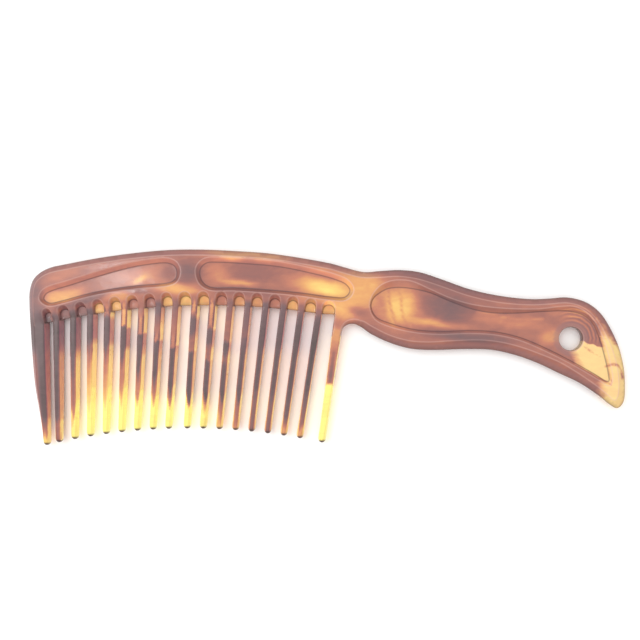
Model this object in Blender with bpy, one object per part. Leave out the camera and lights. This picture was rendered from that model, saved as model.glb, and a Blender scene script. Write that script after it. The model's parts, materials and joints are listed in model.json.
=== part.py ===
"""Wide tooth comb with a handle: an arched back, 18 teeth and a waisted grip.

The comb is modelled lying on its side. X runs along it from the guard tooth to the tail, Y points
away from the tooth tips, and every solid is mirrored about its own middle plane, Z = 0, where the
two halves of a mould would meet. The empty "comb" lifts that plane, so that the flat faces of the
back and the handle rest on Z = 0 in the world.

Plan sizes and heights are written in millimetres. A height is a half thickness, above Z = 0.
"""
import math

import bmesh
import bpy
from mathutils import Vector
from mathutils.geometry import delaunay_2d_cdt

MM = 0.001

# Thickness of the moulding
BODY_Z = 2.5         # flat faces of the back and the handle, so they are 5 mm thick
EDGE_Z = 0.8         # upright band round the outside
FLOOR_Z = 1.7        # floors of the sunk panels
WEB_Z = 0.5          # thin webs between the tooth roots, and the flanks of the teeth
ROOT_Z = 2.2         # front of a tooth at its root
TIP_Z = 1.35         # front of a tooth where its round tip begins
HOLE_RIM_Z = 1.35    # edge of the hanging hole, below the panel floor round it

# Slopes in plan
EDGE_SLOPE = 2.1     # from the outline to the flat face of the back
PANEL_WALL = 1.45    # mean width of a back panel's sloping wall
PANEL_WALL_LEAN = 0.3    # how much wider that wall is above its panel, and narrower below
DRAFT = 0.15         # how far a tooth's flank leans in, from the middle plane to its front
TIP_DRAFT = 0.5      # the same above the round tip

# Teeth
TOOTH_WIDTH = 2.5
TIP_RADIUS = 1.2
TIP_TURNS = (0, 30, 55, 75, 87)    # degrees round the tip where it has a section
SHARES = (0.15, 0.5, 0.85)         # of the way from root to tip where a straight tooth has one
FAR_ROW = {
    "first": 2, "count": 8, "root_x": -94.7, "root_pitch": 5.97, "tip_x": -94.4, "tip_pitch": 5.51,
}
NEAR_ROW = {
    "first": 10, "count": 8, "root_x": -46.3, "root_pitch": 6.21, "tip_x": -49.3, "tip_pitch": 5.68,
}
ROOT_ARC = {"top": (-42.0, 15.2), "radius": 261.0}
TIP_ARC = {"top": (-48.4, -28.4), "radius": 222.0}
WEB_HEIGHT = 3.25    # from a web's free edge to the crown of its arch
ARCH_HEIGHT = 4.85   # from the same edge to the crown of the sloping arch round the web

# Hanging hole
HOLE_CENTRE = (85.6, 3.3)
HOLE_RADIUS = 4.05
HOLE_CHAMFER = 0.35

JOINT_GAP = 0.3      # clearance between two solids of the moulding
CHORD = 2.0          # longest step along a curve
ARCH_STEPS = 6       # along the half circle of an arch
HOLE_STEPS = 28      # round the hanging hole
TURN = math.radians(16)  # most that a curve turns in one step
BOX_CENTRE = (0.076, 0.271)  # middle of the whole comb in plan, which goes to the world origin

# Outline of the back, from the guard tooth over the top to the neck
BACK_EDGE = [
    (-104.3, 7.7), (-104.7, 14.8), (-104.6, 20.1), (-103.4, 24.0), (-101.3, 26.3), (-97.8, 28.2),
    (-90.7, 29.8), (-80.1, 31.8), (-66.0, 33.7), (-54.7, 34.6), (-43.4, 34.7), (-32.1, 34.2),
    (-20.8, 33.4), (-9.5, 31.8), (1.8, 29.7), (7.4, 28.1), (13.1, 26.8),
]
# Outline of the handle, from the top of the neck round the tail and back to the neck
HANDLE_EDGE = [
    (13.1, 26.8), (19.1, 27.2), (25.8, 27.5), (32.8, 26.7), (39.9, 24.4), (50.5, 20.7), (61.1, 18.4),
    (71.7, 17.3), (78.7, 17.5), (84.0, 17.9), (89.3, 16.9), (93.2, 15.0), (96.7, 11.8), (99.9, 6.7),
    (102.7, 0.4), (104.5, -7.1), (104.9, -13.4), (104.3, -19.1), (102.2, -21.2), (99.9, -20.1),
    (96.4, -17.3), (89.3, -12.5), (82.2, -9.1), (73.4, -5.0), (65.3, -2.2), (57.5, -0.6), (48.7, -0.4),
    (36.4, -0.7), (29.3, -0.2), (22.2, 1.8), (15.2, 5.1), (11.6, 7.6),
]
# Throat between the neck and the heel tooth
THROAT_EDGE = [(11.6, 7.6), (9.2, 8.5), (7.1, 8.1), (5.6, 6.9), (5.0, 4.6)]

# Floors of the three sunk panels
FAR_PANEL = [
    (-99.1, 17.3), (-98.4, 19.0), (-96.4, 20.1), (-90.1, 22.0), (-79.6, 25.3), (-69.1, 28.1), (-62.0, 29.4),
    (-55.7, 29.8), (-53.4, 28.8), (-52.5, 26.4), (-53.4, 23.9), (-55.7, 22.9), (-65.6, 22.0), (-74.3, 20.9),
    (-83.1, 19.2), (-93.6, 16.4), (-97.1, 15.8),
]
NEAR_PANEL = [
    (-44.5, 26.4), (-44.0, 28.3), (-42.0, 29.9), (-37.5, 30.1), (-26.9, 29.5), (-16.4, 28.5), (-5.9, 26.4),
    (2.9, 24.1), (6.8, 22.3), (8.1, 20.1), (6.4, 17.9), (1.1, 18.0), (-9.4, 19.4), (-19.9, 20.4),
    (-32.2, 21.2), (-41.0, 21.5), (-43.6, 23.4),
]
HANDLE_PANEL = [
    (15.5, 14.4), (16.2, 17.3), (18.0, 19.0), (21.2, 20.8), (25.7, 21.3), (31.0, 20.7), (36.2, 19.4),
    (43.3, 16.4), (50.3, 13.9), (57.3, 12.5), (66.1, 12.3), (76.6, 12.9), (84.3, 13.0), (89.6, 11.7),
    (93.1, 8.7), (95.6, 2.9), (97.3, -2.8), (98.7, -9.4), (98.8, -11.5), (97.5, -11.4), (94.5, -9.5),
    (88.9, -6.3), (78.4, -0.8), (67.8, 3.7), (59.1, 5.7), (50.3, 6.2), (39.8, 5.9), (31.0, 6.5),
    (22.2, 8.7), (17.3, 10.9),
]
# Upper edge of the wall round the handle's panel
HANDLE_RIM = [
    (15.0, 14.4), (15.5, 17.6), (16.9, 20.0), (19.0, 22.1), (22.2, 23.5), (25.7, 23.9), (29.9, 23.4),
    (36.1, 20.7), (43.1, 17.6), (50.1, 15.5), (57.1, 14.4), (65.8, 13.8), (74.6, 13.8), (81.5, 14.6),
    (86.1, 14.7), (89.9, 13.2), (93.1, 10.2), (95.5, 6.0), (97.6, 0.8), (99.0, -4.8), (99.9, -11.1),
    (98.8, -13.2), (95.9, -11.6), (88.5, -7.2), (78.1, -1.8), (67.6, 2.7), (58.8, 4.7), (50.1, 5.2),
    (39.6, 4.9), (30.9, 5.5), (22.2, 7.5), (16.9, 10.1),
]
# Line where the slope from the handle's outline meets its flat face
HANDLE_RIDGE = [
    (12.9, 24.6), (19.0, 24.8), (25.7, 25.1), (32.7, 24.0), (39.6, 21.8), (50.1, 18.2), (60.6, 16.0),
    (71.1, 15.2), (78.1, 15.5), (83.3, 15.9), (87.5, 15.2), (91.0, 13.4), (94.1, 10.4), (97.3, 5.3),
    (100.1, -1.3), (101.8, -8.3), (102.1, -13.2), (101.6, -17.0), (100.6, -18.2), (98.7, -16.7),
    (94.8, -13.5), (88.5, -9.1), (81.5, -4.9), (74.6, -2.0), (67.6, 0.5), (60.6, 2.2), (53.6, 2.9),
    (43.1, 2.6), (36.1, 2.2), (29.2, 2.6), (22.2, 4.5), (15.9, 7.6), (11.8, 10.1),
]

# Guard tooth: its curved outer flank, and its straight inner flank
GUARD_OUTER = [
    (-104.3, 7.7), (-103.8, -0.7), (-102.7, -13.4), (-101.3, -21.9), (-100.3, -28.9), (-99.9, -33.0),
]
GUARD_INNER_TOP_X = -98.7
GUARD_INNER_FOOT = (-97.5, -33.0)
# Heel tooth: flanks from its stub on the back down to its tip
HEEL_STUB_Y = 4.6
HEEL_LEFT = [(2.7, 11.8), (1.6, HEEL_STUB_Y), (-3.1, -32.0)]
HEEL_RIGHT = [(5.0, HEEL_STUB_Y), (-0.5, -32.0)]

AMBER = (0.62, 0.28, 0.11)
DARK_AMBER = (0.34, 0.16, 0.10)
HONEY = (0.86, 0.55, 0.22)


def smooth_curve(controls, closed=False):
    """Points on the centripetal Catmull-Rom curve through the control points."""
    points = [Vector(p) for p in controls]
    if closed:
        points = [points[-1], *points, points[0], points[1]]
    else:
        points = [2 * points[0] - points[1], *points, 2 * points[-1] - points[-2]]
    curve = []
    for before, start, end, after in zip(points, points[1:], points[2:], points[3:]):
        turn = (end - before).angle(after - start)
        length = (end - start).length
        steps = max(1, math.ceil(length / CHORD), math.ceil(turn / TURN))
        for step in range(steps):
            curve.append(catmull_rom(before, start, end, after, step / steps))
    if not closed:
        curve.append(points[-2])
    return curve


def catmull_rom(before, start, end, after, share):
    knot_1 = (start - before).length ** 0.5
    knot_2 = knot_1 + (end - start).length ** 0.5
    knot_3 = knot_2 + (after - end).length ** 0.5
    at = knot_1 + share * (knot_2 - knot_1)
    low = before.lerp(start, at / knot_1)
    middle = start.lerp(end, (at - knot_1) / (knot_2 - knot_1))
    high = end.lerp(after, (at - knot_2) / (knot_3 - knot_2))
    near = low.lerp(middle, at / knot_2)
    far = middle.lerp(high, (at - knot_1) / (knot_3 - knot_1))
    return near.lerp(far, (at - knot_1) / (knot_2 - knot_1))


def shifted(curve, distance, closed=False):
    """The curve moved to its right by a distance, or by distance(normal, share of the way along)."""
    moved = []
    last = len(curve) - 1
    for i, point in enumerate(curve):
        ahead = curve[(i + 1) % len(curve)] if closed else curve[min(i + 1, last)]
        behind = curve[i - 1] if closed else curve[max(i - 1, 0)]
        along = (ahead - behind).normalized()
        normal = Vector((along.y, -along.x))
        width = distance(normal, i / last) if callable(distance) else distance
        moved.append(point + normal * width)
    return moved


def arc_y(arc, x):
    top_x, top_y = arc["top"]
    return top_y - arc["radius"] + math.sqrt(arc["radius"] ** 2 - (x - top_x) ** 2)


def on_root_arc(x):
    return Vector((x, arc_y(ROOT_ARC, x)))


def face_z(point):
    """Height of the flat face, which falls to the fronts of the teeth round their roots."""
    rise = (point.y - arc_y(ROOT_ARC, point.x)) / ARCH_HEIGHT
    return ROOT_Z + (BODY_Z - ROOT_Z) * min(max(rise, 0.0), 1.0)


def at_height(curve, height):
    """The plan curve as (x, y, z) points; the height is a number or a function of the point."""
    return [(p.x, p.y, height(p) if callable(height) else height) for p in curve]


def inside(point, loop):
    crossings = 0
    for (x0, y0, _), (x1, y1, _) in zip(loop, loop[1:] + loop[:1]):
        if (y0 > point.y) != (y1 > point.y) and point.x < x0 + (point.y - y0) * (x1 - x0) / (y1 - y0):
            crossings += 1
    return crossings % 2 == 1


def plastic(name, colour):
    material = bpy.data.materials.new(name)
    material.use_nodes = True
    shader = material.node_tree.nodes["Principled BSDF"]
    shader.inputs["Base Color"].default_value = (*colour, 1.0)
    shader.inputs["Roughness"].default_value = 0.22
    shader.inputs["Metallic"].default_value = 0.0
    material.diffuse_color = (*colour, 1.0)
    return material


def add_object(name, mesh_data, colour, comb):
    mesh = bpy.data.meshes.new(name)
    mesh_data.to_mesh(mesh)
    mesh_data.free()
    mesh.transform(((MM, 0, 0, 0), (0, MM, 0, 0), (0, 0, MM, 0), (0, 0, 0, 1)))
    mesh.shade_smooth()
    mesh.set_sharp_from_angle(angle=math.radians(20))
    mesh.materials.append(plastic(name, colour))
    obj = bpy.data.objects.new(name, mesh)
    bpy.context.scene.collection.objects.link(obj)
    obj.parent = comb
    return obj


def relief(name, border, contours, colour, comb, holes=()):
    """A solid whose two faces pass through the border and the contours, like a map's hills.

    The border, the contours and the holes are lists of (x, y, z) points, and z is the half
    thickness there. The border and the holes are closed, and walled between the two faces.
    """
    places = {}
    heights = []
    edges = []

    def index_of(point):
        key = (round(point[0], 4), round(point[1], 4))
        if key not in places:
            places[key] = len(places)
            heights.append(point[2])
        return places[key]

    for line in [[*border, border[0]], *([*hole, hole[0]] for hole in holes), *contours]:
        chain = [index_of(point) for point in line]
        edges.extend((a, b) for a, b in zip(chain, chain[1:]) if a != b)
    flat = [Vector(place) for place in places]
    points, _, faces, origins, _, _ = delaunay_2d_cdt(flat, edges, [], 0, 1e-5)
    crossings = [tuple(p) for p, origin in zip(points, origins) if not origin]
    if crossings:
        raise ValueError(f"{name}: contours cross at {crossings}")

    mesh = bmesh.new()
    upper = [mesh.verts.new((p.x, p.y, heights[origins[i][0]])) for i, p in enumerate(points)]
    lower = [mesh.verts.new((v.co.x, v.co.y, -v.co.z)) for v in upper]
    directed = set()
    for face in faces:
        middle = sum((points[i] for i in face), Vector((0.0, 0.0))) / len(face)
        if inside(middle, border) and not any(inside(middle, hole) for hole in holes):
            mesh.faces.new([upper[i] for i in face])
            mesh.faces.new([lower[i] for i in reversed(face)])
            directed.update(zip(face, [*face[1:], face[0]]))
    for a, b in directed:
        if (b, a) not in directed:
            mesh.faces.new((upper[b], upper[a], lower[a], lower[b]))
    bmesh.ops.delete(mesh, geom=[v for v in mesh.verts if not v.link_faces], context="VERTS")
    return add_object(name, mesh, colour, comb)


def arch(left, right, height):
    """Straight sides and a half circle, standing on the line from left to right."""
    across = right - left
    radius = across.length / 2
    up = Vector((-across.y, across.x)).normalized()
    spring = left + up * (height - radius)
    centre = spring + across / 2
    crown = []
    for step in range(ARCH_STEPS + 1):
        turn = math.pi * step / ARCH_STEPS
        crown.append(centre - across / 2 * math.cos(turn) + up * radius * math.sin(turn))
    return [left, *crown, right]


def tooth_roots():
    """The four corners of each tooth's root in plan: left flank, front face, right flank."""
    flanks = [(Vector(GUARD_OUTER[0]), on_root_arc(GUARD_INNER_TOP_X))]
    for row in (FAR_ROW, NEAR_ROW):
        for i in range(row["count"]):
            middle = row["root_x"] + i * row["root_pitch"]
            flanks.append(tuple(on_root_arc(middle + side * TOOTH_WIDTH / 2) for side in (-1, 1)))
    flanks.append((Vector(HEEL_LEFT[1]), Vector(THROAT_EDGE[-1])))
    roots = []
    for i, (left, right) in enumerate(flanks):
        along = (right - left).normalized()
        left_slope = EDGE_SLOPE if i == 0 else DRAFT
        roots.append((left, left + along * left_slope, right - along * DRAFT, right))
    return roots


def back_foot(roots):
    """The back's lower edge: the stubs that the teeth continue, and the free edges of the webs."""
    foot = []
    for i, (left, front_left, front_right, right) in enumerate(roots):
        if i == len(roots) - 1:
            foot.append((*HEEL_LEFT[0], WEB_Z))
        foot.append((left.x, left.y, EDGE_Z if i == 0 else WEB_Z))
        foot.extend(at_height([front_left, front_right], ROOT_Z))
        foot.append((right.x, right.y, WEB_Z))
    return foot[:-1]


def root_arches(roots):
    """Contours of the 17 webs and of the sloping arches round them."""
    contours = []
    for (_, _, front_before, before), (after, front_after, _, _) in zip(roots, roots[1:]):
        at_heel = after == roots[-1][0]
        if at_heel:
            heel_front = front_after
            after = Vector(HEEL_LEFT[0])
            front_after = after + Vector((DRAFT, 0))
        contours.append(at_height(arch(before, after, WEB_HEIGHT), WEB_Z))
        contours.append(at_height(arch(front_before, front_after, ARCH_HEIGHT), face_z))
        if at_heel:
            contours[-1].append((heel_front.x, heel_front.y, ROOT_Z))
    return contours


def panel_contours(floor):
    """A sunk panel of the back: its floor's edge, and the upper edge of its wall."""
    edge = smooth_curve(floor, closed=True)
    rim = shifted(edge, lambda normal, _: -PANEL_WALL + PANEL_WALL_LEAN * normal.y, closed=True)
    return [closed_line(edge, FLOOR_Z), closed_line(rim, face_z)]


def closed_line(curve, height):
    line = at_height(curve, height)
    return [*line, line[0]]


def neck_joint(side):
    """Ends of the joint between the back and the handle, half a gap to one side of it."""
    shift = Vector((side * JOINT_GAP / 2, 0))
    return Vector(BACK_EDGE[-1]) + shift, Vector(THROAT_EDGE[0]) + shift


def outline_pieces():
    """The whole outline as one smooth curve, cut at the neck into back, handle and throat."""
    controls = [*BACK_EDGE, *HANDLE_EDGE[1:], *THROAT_EDGE[1:]]
    curve = smooth_curve(controls)
    first_cut = curve.index(min(curve, key=lambda p: (p - Vector(BACK_EDGE[-1])).length))
    second_cut = curve.index(min(curve, key=lambda p: (p - Vector(THROAT_EDGE[0])).length))
    return curve[: first_cut + 1], curve[first_cut : second_cut + 1], curve[second_cut:]


def add_back(comb):
    back_edge, _, throat_edge = outline_pieces()
    roots = tooth_roots()
    joint_top, joint_low = neck_joint(-1)
    ridge = shifted(back_edge, EDGE_SLOPE)
    throat_ridge = shifted(throat_edge, lambda _, share: EDGE_SLOPE + (DRAFT - EDGE_SLOPE) * share)
    along = (joint_low - joint_top).normalized()
    ridge[0] = roots[0][1]
    ridge[-1] = joint_top + along * EDGE_SLOPE
    throat_ridge[0] = joint_low - along * EDGE_SLOPE
    throat_ridge[-1] = roots[-1][2]
    back_edge[-1] = joint_top
    throat_edge[0] = joint_low

    border = at_height(back_edge, EDGE_Z)
    border += at_height([ridge[-1], throat_ridge[0]], BODY_Z)
    border += at_height(throat_edge, EDGE_Z)
    border += back_foot(roots)[:0:-1]
    contours = [at_height(ridge, face_z), at_height(throat_ridge, face_z), *root_arches(roots)]
    contours += panel_contours(FAR_PANEL) + panel_contours(NEAR_PANEL)
    return relief("back", border[::-1], contours, AMBER, comb)


def add_handle(comb):
    _, handle_edge, _ = outline_pieces()
    joint_top, joint_low = neck_joint(1)
    handle_edge[0] = joint_top
    handle_edge[-1] = joint_low
    ridge = smooth_curve(HANDLE_RIDGE)
    along = (joint_low - joint_top).normalized()
    ridge[0] = joint_top + along * EDGE_SLOPE
    ridge[-1] = joint_low - along * EDGE_SLOPE
    border = at_height(handle_edge, EDGE_Z) + at_height([ridge[-1], ridge[0]], BODY_Z)
    contours = [
        at_height(ridge, BODY_Z),
        closed_line(smooth_curve(HANDLE_RIM, closed=True), BODY_Z),
        closed_line(smooth_curve(HANDLE_PANEL, closed=True), FLOOR_Z),
        closed_line(circle(HOLE_CENTRE, HOLE_RADIUS + HOLE_CHAMFER), FLOOR_Z),
    ]
    hole = at_height(circle(HOLE_CENTRE, HOLE_RADIUS), HOLE_RIM_Z)
    return relief("handle", border[::-1], contours, DARK_AMBER, comb, holes=[hole])


def circle(centre, radius):
    turns = [2 * math.pi * step / HOLE_STEPS for step in range(HOLE_STEPS)]
    return [Vector(centre) + radius * Vector((math.cos(turn), math.sin(turn))) for turn in turns]


def section(left, right, front, side, slopes):
    """Eight corners of a tooth's section, in order round it.

    front and side are the half thicknesses of its front face and of its flanks, and slopes the
    widths of the slopes between them.
    """
    across = (right - left).normalized()
    front_left = left + across * slopes[0]
    front_right = right - across * slopes[1]
    corners = [(left, side), (front_left, front), (front_right, front), (right, side)]
    upper = [(p.x, p.y, z) for p, z in corners]
    return upper + [(x, y, -z) for x, y, z in reversed(upper)]


def add_tooth(name, sections, comb):
    """A tooth lofted through its sections and closed at both ends."""
    mesh = bmesh.new()
    rings = [[mesh.verts.new(corner) for corner in corners] for corners in sections]
    for upper, lower in zip(rings, rings[1:]):
        for i in range(len(upper)):
            j = (i + 1) % len(upper)
            mesh.faces.new((upper[i], upper[j], lower[j], lower[i]))
    mesh.faces.new(rings[0])
    mesh.faces.new(rings[-1])
    bmesh.ops.recalc_face_normals(mesh, faces=mesh.faces)
    return add_object(name, mesh, HONEY, comb)


def tip_sections(left, right):
    """Sections of a round tip, below the last straight section of a tooth."""
    middle = (left + right) / 2
    half = (right - left) / 2
    down = Vector((half.y, -half.x)).normalized()
    octagon = math.tan(math.pi / 8)
    sections = []
    for turn in map(math.radians, TIP_TURNS):
        shrink = math.cos(turn)
        radius = half.length * shrink
        centre = middle + down * half.length * math.sin(turn)
        front = TIP_Z * radius / TIP_RADIUS
        side = radius * octagon
        slope = radius - side
        ends = (centre - half * shrink, centre + half * shrink)
        sections.append(section(*ends, front, side, (slope, slope)))
    return sections


def between(root, tip, share):
    return root + (tip - root) * share


def add_row_teeth(comb):
    """The 16 teeth of the two rows, straight and slightly fanned."""
    for row in (FAR_ROW, NEAR_ROW):
        for i in range(row["count"]):
            root = on_root_arc(row["root_x"] + i * row["root_pitch"])
            tip_x = row["tip_x"] + i * row["tip_pitch"]
            tip = Vector((tip_x, arc_y(TIP_ARC, tip_x) + TIP_RADIUS))
            add_tooth(f"tooth_{row['first'] + i:02d}", row_tooth_sections(root, tip), comb)


def row_tooth_sections(root, tip):
    along = (tip - root).normalized()
    across = Vector((-along.y, along.x))
    tangent = (on_root_arc(root.x + 1) - on_root_arc(root.x - 1)).normalized()
    start = root + along * JOINT_GAP
    root_half = tangent * TOOTH_WIDTH / 2
    sections = [section(start - root_half, start + root_half, ROOT_Z, WEB_Z, (DRAFT, DRAFT))]
    for share in SHARES:
        middle = start.lerp(tip, share)
        half = across * between(TOOTH_WIDTH / 2, TIP_RADIUS, share)
        slope = between(DRAFT, TIP_DRAFT, share ** 2)
        front = between(ROOT_Z, TIP_Z, share ** 2)
        sections.append(section(middle - half, middle + half, front, WEB_Z, (slope, slope)))
    half = across * TIP_RADIUS
    return sections + tip_sections(tip - half, tip + half)


def add_guard_tooth(comb):
    outer = smooth_curve(GUARD_OUTER)
    inner_top = on_root_arc(GUARD_INNER_TOP_X)
    inner_foot = Vector(GUARD_INNER_FOOT)
    sections = []
    for i, left in enumerate(outer[:-1]):
        share = i / (len(outer) - 1)
        right = inner_top.lerp(inner_foot, share)
        drop = Vector((0, -JOINT_GAP)) if i == 0 else Vector((0, 0))
        slopes = (between(EDGE_SLOPE, TIP_DRAFT, share), between(DRAFT, TIP_DRAFT, share))
        front = between(ROOT_Z, TIP_Z, share ** 2)
        side = between(EDGE_Z, WEB_Z, share)
        sections.append(section(left + drop, right + drop, front, side, slopes))
    sections += tip_sections(outer[-1], inner_foot)
    return add_tooth("guard_tooth", sections, comb)


def add_heel_tooth(comb):
    drop = Vector((0, -JOINT_GAP))
    left_top = Vector(HEEL_LEFT[1]) + drop
    right_top = Vector(HEEL_RIGHT[0]) + drop
    left_foot = Vector(HEEL_LEFT[2])
    right_foot = Vector(HEEL_RIGHT[1])
    sections = []
    for share in (0.0, *SHARES):
        slope = between(DRAFT, TIP_DRAFT, share)
        front = between(ROOT_Z, TIP_Z, share ** 2)
        left = left_top.lerp(left_foot, share)
        right = right_top.lerp(right_foot, share)
        sections.append(section(left, right, front, WEB_Z, (slope, slope)))
    sections += tip_sections(left_foot, right_foot)
    return add_tooth("heel_tooth", sections, comb)


def main():
    for obj in list(bpy.data.objects):
        bpy.data.objects.remove(obj, do_unlink=True)
    comb = bpy.data.objects.new("comb", None)
    bpy.context.scene.collection.objects.link(comb)
    comb.location = (-BOX_CENTRE[0] * MM, -BOX_CENTRE[1] * MM, BODY_Z * MM)
    add_back(comb)
    add_handle(comb)
    add_guard_tooth(comb)
    add_row_teeth(comb)
    add_heel_tooth(comb)


main()
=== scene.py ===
"""A wide tooth comb in tortoiseshell-look plastic, lying flat on a pale floor, seen from above.

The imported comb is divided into 20 faceted nodes with small gaps. The visible comb is built from
those nodes: they are joined back into one moulding, its outline and contour lines become smooth
curves, and a fine skin is stretched over them with rounded edges. The skin is then divided at the
same places into one closed piece for each node.

Lengths in names that end in MM are in millimetres; everything given to Blender is in metres.
"""
import json
import math

import bmesh
import bpy
import numpy as np
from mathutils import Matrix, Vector, noise
from mathutils.bvhtree import BVHTree
from mathutils.geometry import delaunay_2d_cdt
from mathutils.kdtree import KDTree


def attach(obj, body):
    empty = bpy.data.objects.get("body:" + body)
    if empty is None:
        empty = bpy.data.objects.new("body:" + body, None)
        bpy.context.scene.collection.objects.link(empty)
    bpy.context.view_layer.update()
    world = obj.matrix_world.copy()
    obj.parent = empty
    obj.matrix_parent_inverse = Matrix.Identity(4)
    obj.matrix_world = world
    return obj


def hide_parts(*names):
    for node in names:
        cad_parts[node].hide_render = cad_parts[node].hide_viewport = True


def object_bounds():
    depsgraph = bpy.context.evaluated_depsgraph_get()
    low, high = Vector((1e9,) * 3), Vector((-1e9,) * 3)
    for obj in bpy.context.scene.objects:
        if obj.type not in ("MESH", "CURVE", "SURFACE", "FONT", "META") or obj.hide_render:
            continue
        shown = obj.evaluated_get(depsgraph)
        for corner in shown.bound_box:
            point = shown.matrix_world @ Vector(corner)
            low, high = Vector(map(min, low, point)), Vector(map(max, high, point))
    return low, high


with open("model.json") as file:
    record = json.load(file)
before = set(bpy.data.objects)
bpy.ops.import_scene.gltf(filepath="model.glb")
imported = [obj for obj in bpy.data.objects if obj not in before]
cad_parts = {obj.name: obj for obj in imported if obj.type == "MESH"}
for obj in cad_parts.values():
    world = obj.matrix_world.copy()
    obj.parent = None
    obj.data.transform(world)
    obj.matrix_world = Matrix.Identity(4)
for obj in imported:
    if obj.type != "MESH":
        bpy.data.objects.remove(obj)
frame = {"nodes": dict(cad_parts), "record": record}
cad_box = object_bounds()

MM = 0.001

# Joining the nodes
WELD = 0.02              # corners this close are one corner
SAME = 0.001             # and after joining, corners this close
REACH = 0.55             # a corner this near to the back, across the gap, joins it
CREASE = math.radians(12)    # edges that fold more than this are lines of the relief
CORNER = math.radians(40)    # a line that turns more than this is cut there

# Fineness of the skin
LINE_STEP = 0.5          # along the outline and the contour lines
ROUNDING = 0.22          # radius over which the folds are rounded
BULGE = 0.16             # how far the long slopes inside the outline swell out
BULGE_WIDTH = 2.1        # width of those slopes
BULGE_FROM = 0.7         # only where the outline is thicker than this above the middle
SLOPE_REACH = (2.5, 1.7)     # the painted reflection on the slopes fades out between these distances from the outline
ROOT_FADE = (0.5, 4.0)       # the slopes end between these heights above the roots of the teeth
THROAT_FADE = (3.0, 12.0)    # and between these distances from the heel tooth, in the throat
THROAT_Y = 20.0          # the throat's part of the outline lies below this
STUB_RISE = 8.0          # the outline round the webs stays this close to the roots of the teeth
MARK_REACH = (0.33, 0.08)    # a contour's painted shade or painted highlight fades out between these distances
BODY_RIM = 0.6           # darkness of the painted shade along the back's and the handle's outline
BODY_RIM_REACH = (0.62, 0.12)    # and the distances between which it fades out
TIP_RIM_REACH = (1.1, 0.75)      # the same at the tips of the teeth
TIP_RIM_TURN = (0.1, 0.7)        # where it grows as the outline turns to face down the tooth
EDGE_ROWS = (0.2, 0.36)      # rows of points inside the outline
FOLD_ROWS = (0.13, 0.3)      # rows of points on both sides of a contour line
ROW_CLEAR = 0.1          # least distance between points of the rows
FILL_STEP = 0.9          # grid of the points between the lines
FILL_CLEAR = 0.48        # least distance from one of those to any other point
CELL = 0.5               # size of the cells in which close points are looked up
# Side wall, from its upper edge to the parting line: share of the height, distance leant in
WALL_ROWS = ((1.0, 0.1), (0.72, 0.035), (0.36, 0.008))

NAMES = ["back"] + sorted(name for name in frame["nodes"] if name != "back")
BODY = ("back", "handle")
MIDDLE_Z = (cad_box[0][2] + cad_box[1][2]) / 2 / MM


def joined_nodes():
    """All the nodes as one closed mesh in millimetres, each face knowing its node's number."""
    mesh = bmesh.new()
    node_of = mesh.faces.layers.int.new("node")
    for number, name in enumerate(NAMES):
        known = len(mesh.faces)
        mesh.from_mesh(frame["nodes"][name].data)
        mesh.faces.ensure_lookup_table()
        for face in mesh.faces[known:]:
            face[node_of] = number
    bmesh.ops.scale(mesh, vec=(1 / MM,) * 3, verts=mesh.verts)
    bmesh.ops.remove_doubles(mesh, verts=mesh.verts, dist=WELD)
    owner = {vert: vert.link_faces[0][node_of] for vert in mesh.verts}
    back = [vert for vert in mesh.verts if owner[vert] == 0]
    tree = KDTree(len(back))
    for i, vert in enumerate(back):
        tree.insert(vert.co, i)
    tree.balance()
    rings = {}
    for vert in mesh.verts:
        if owner[vert] != 0:
            _, i, distance = tree.find(vert.co)
            if distance < REACH:
                rings.setdefault(owner[vert], set()).update((vert, back[i]))
                vert.co = back[i].co = (vert.co + back[i].co) / 2
    caps = set()
    for ring in rings.values():
        for vert in ring:
            caps.update(face for face in vert.link_faces if all(v in ring for v in face.verts))
    bmesh.ops.delete(mesh, geom=list(caps), context="FACES_ONLY")
    bmesh.ops.delete(mesh, geom=[e for e in mesh.edges if not e.link_faces], context="EDGES")
    bmesh.ops.remove_doubles(mesh, verts=mesh.verts, dist=SAME)
    mesh.normal_update()
    return mesh, node_of


def front_lines(mesh, node_of):
    """The front half of the moulding: its faces' nodes, and its lines as lists of points.

    A line is the outline, a joint between nodes, or a contour where the relief folds: a crest or a
    hollow of the back and the handle, or the edge of a tooth's flank.
    """
    front = [f for f in mesh.faces if f.normal.z > 0.02 and f.calc_center_median().z > MIDDLE_Z]
    shown = set(front)
    kinds = {}
    for edge in {e for f in front for e in f.edges}:
        sides = [f for f in edge.link_faces if f in shown]
        node = sides[0][node_of]
        if len(sides) == 1:
            kinds[edge] = "outline"
        elif node != sides[1][node_of]:
            kinds[edge] = "joint"
        elif sides[0].normal.angle(sides[1].normal) > CREASE and follows_relief(edge, node):
            if NAMES[node] not in BODY:
                kinds[edge] = "flank"
            else:
                kinds[edge] = "crest" if edge.is_convex else "hollow"
    return front, chains(kinds)


def follows_relief(edge, node):
    """False for an edge that only crosses a curved slope from one contour line to another."""
    span = edge.verts[1].co - edge.verts[0].co
    if NAMES[node] in BODY:
        return abs(span.z) < 0.25 * span.length
    return abs(span.y) > abs(span.x)


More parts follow.
